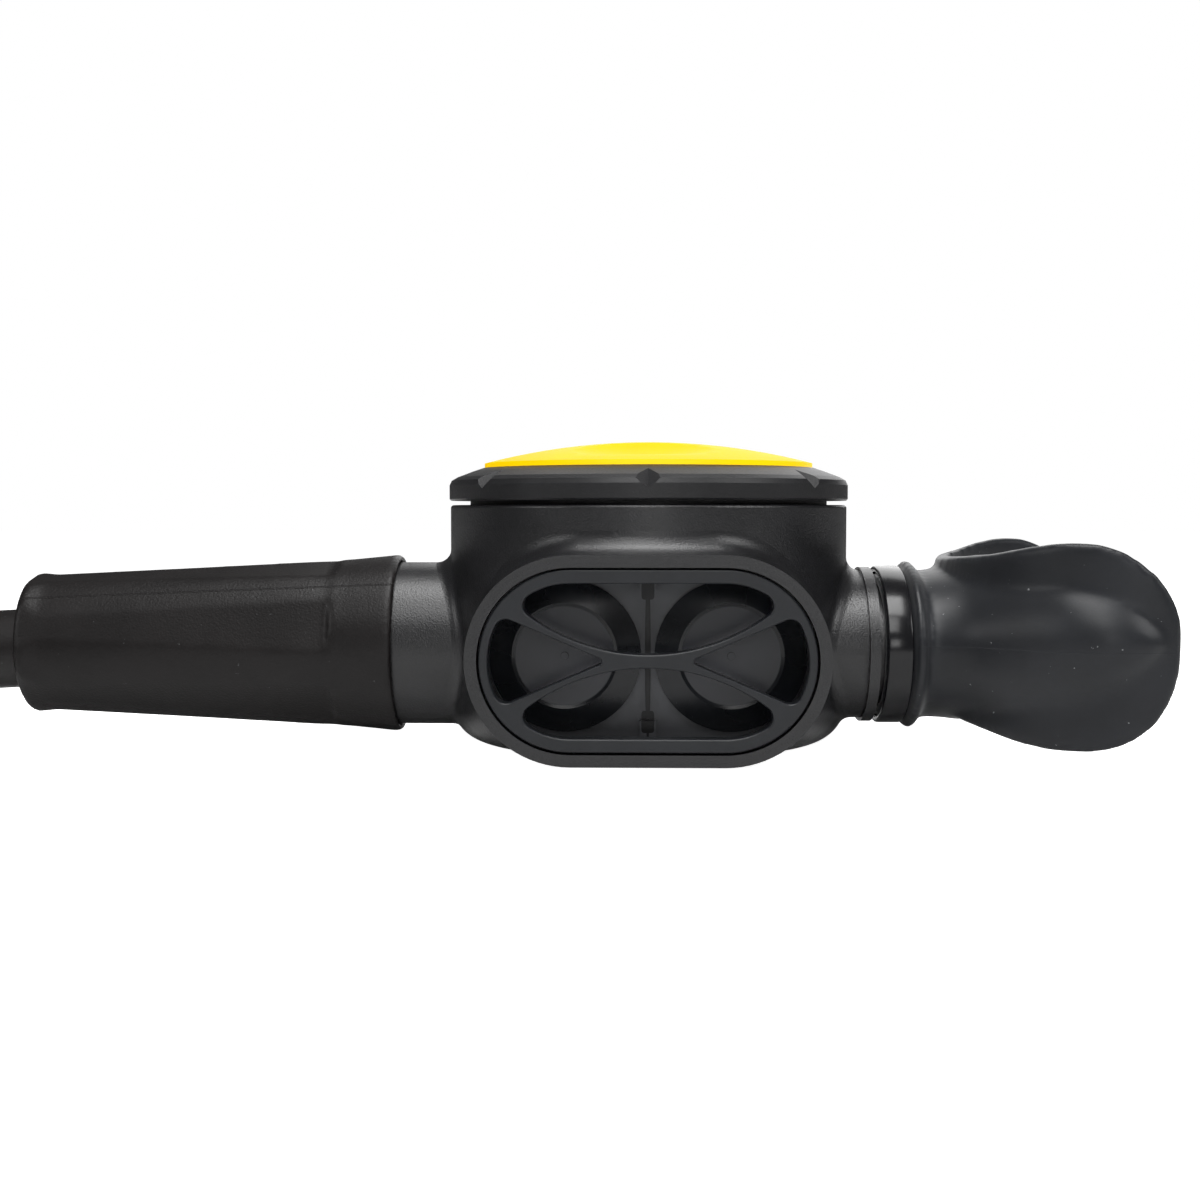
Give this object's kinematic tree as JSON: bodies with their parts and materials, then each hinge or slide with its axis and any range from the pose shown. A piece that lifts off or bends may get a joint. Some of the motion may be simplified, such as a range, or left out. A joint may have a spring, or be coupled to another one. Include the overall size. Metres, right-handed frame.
{
  "type": "regulator second stage with hose",
  "caption": "Round diving-regulator second stage with a yellow domed purge button, side exhaust grille, bite mouthpiece and a low-pressure hose wound in a coil.",
  "frame": {"origin": "centre of the round case's flat base", "axes": "+X to the mouthpiece, -Y out of the exhaust port, +Z to the purge cover"},
  "size_m": [0.3258, 0.1681, 0.0473],
  "materials": {
    "case": "fine-grained glass-filled nylon",
    "cover_ring": "fine-grained glass-filled nylon",
    "ring_washer": "smooth white acetal",
    "diaphragm": "translucent grey silicone",
    "purge_spring": "pressed stainless",
    "inlet_fitting": "chromed brass",
    "barrel_nut": "chromed brass",
    "orifice": "stainless",
    "orifice_seal": "rubber O-ring",
    "valve_barrel": "chromed brass",
    "barrel_seal": "rubber O-ring",
    "lever_pin": "stainless pin",
    "poppet_spring": "stainless spring wire",
    "hose_stem": "chromed brass",
    "stem_seal": "rubber O-ring",
    "exhaust_grille": "satin nylon",
    "valve_plate": "satin grey nylon",
    "exhaust_valve_left": "glossy silicone rubber",
    "exhaust_valve_right": "glossy silicone rubber",
    "mouthpiece": "soft charcoal silicone",
    "mouthpiece_band": "glossy moulded nylon",
    "band_latch": "glossy moulded nylon",
    "swivel_nut": "chromed brass",
    "hose_ferrule": "chromed crimp sleeve",
    "hose": "smooth black hose rubber",
    "hose_coil": "smooth black hose rubber",
    "coil_tie": "hook-and-loop strap",
    "far_ferrule": "chromed crimp sleeve",
    "first_stage_fitting": "chromed brass",
    "fitting_seal": "rubber O-ring",
    "purge_cover": "yellow moulded urethane",
    "diaphragm_disc": "pressed stainless",
    "lever": "formed stainless strip",
    "poppet": "machined acetal",
    "poppet_seat": "seat rubber",
    "lever_washer": "stainless",
    "poppet_locknut": "stainless self-locking nut",
    "hose_sleeve": "matte moulded rubber"
  },
  "bodies": {
    "second_stage": {"case": "case", "cover_ring": "cover_ring", "ring_washer": "ring_washer", "diaphragm": "diaphragm", "purge_spring": "purge_spring", "inlet_fitting": "inlet_fitting", "barrel_nut": "barrel_nut", "orifice": "orifice", "orifice_seal": "orifice_seal", "valve_barrel": "valve_barrel", "barrel_seal": "barrel_seal", "lever_pin": "lever_pin", "poppet_spring": "poppet_spring", "hose_stem": "hose_stem", "stem_seal": "stem_seal", "exhaust_grille": "exhaust_grille", "valve_plate": "valve_plate", "exhaust_valve_left": "exhaust_valve_left", "exhaust_valve_right": "exhaust_valve_right", "mouthpiece": "mouthpiece", "mouthpiece_band": "mouthpiece_band", "band_latch": "band_latch", "swivel_nut": "swivel_nut", "hose_ferrule": "hose_ferrule", "hose": "hose", "hose_coil": "hose_coil", "coil_tie": "coil_tie", "far_ferrule": "far_ferrule", "first_stage_fitting": "first_stage_fitting", "fitting_seal": "fitting_seal"},
    "purge_cover": {"purge_cover": "purge_cover"},
    "diaphragm_disc": {"diaphragm_disc": "diaphragm_disc"},
    "lever": {"lever": "lever"},
    "poppet": {"poppet": "poppet", "poppet_seat": "poppet_seat", "lever_washer": "lever_washer", "poppet_locknut": "poppet_locknut"},
    "hose_sleeve": {"hose_sleeve": "hose_sleeve"}
  },
  "joints": [
    {"name": "purge_press", "type": "slide", "parent": "second_stage", "child": "purge_cover", "axis": [0, 0, -1], "range_m": [0, 0.003], "stiffness_N_per_m": 400, "springref_m": -0.002, "deforming": ["purge_spring"]},
    {"name": "disc_travel", "type": "slide", "parent": "second_stage", "child": "diaphragm_disc", "axis": [0, 0, -1], "range_m": [0, 0.003], "deforming": ["diaphragm"]},
    {"name": "lever_turn", "type": "hinge", "parent": "second_stage", "child": "lever", "pos_m": [0.013, 0, 0.01955], "axis": [0, -1, 0], "range_deg": [0, 12]},
    {"name": "poppet_travel", "type": "slide", "parent": "second_stage", "child": "poppet", "axis": [1, 0, 0], "range_m": [0, 0.0006], "deforming": ["poppet_spring"]},
    {"name": "sleeve_slide", "type": "slide", "parent": "second_stage", "child": "hose_sleeve", "axis": [-1, 0, 0], "range_m": [0, 0.02]}
  ],
  "couplings": [
    {"joint": "disc_travel", "follows": "purge_press", "ratio": 1},
    {"joint": "lever_turn", "follows": "purge_press", "rad_per_m": 69.4},
    {"joint": "poppet_travel", "follows": "purge_press", "ratio": 0.2}
  ]
}
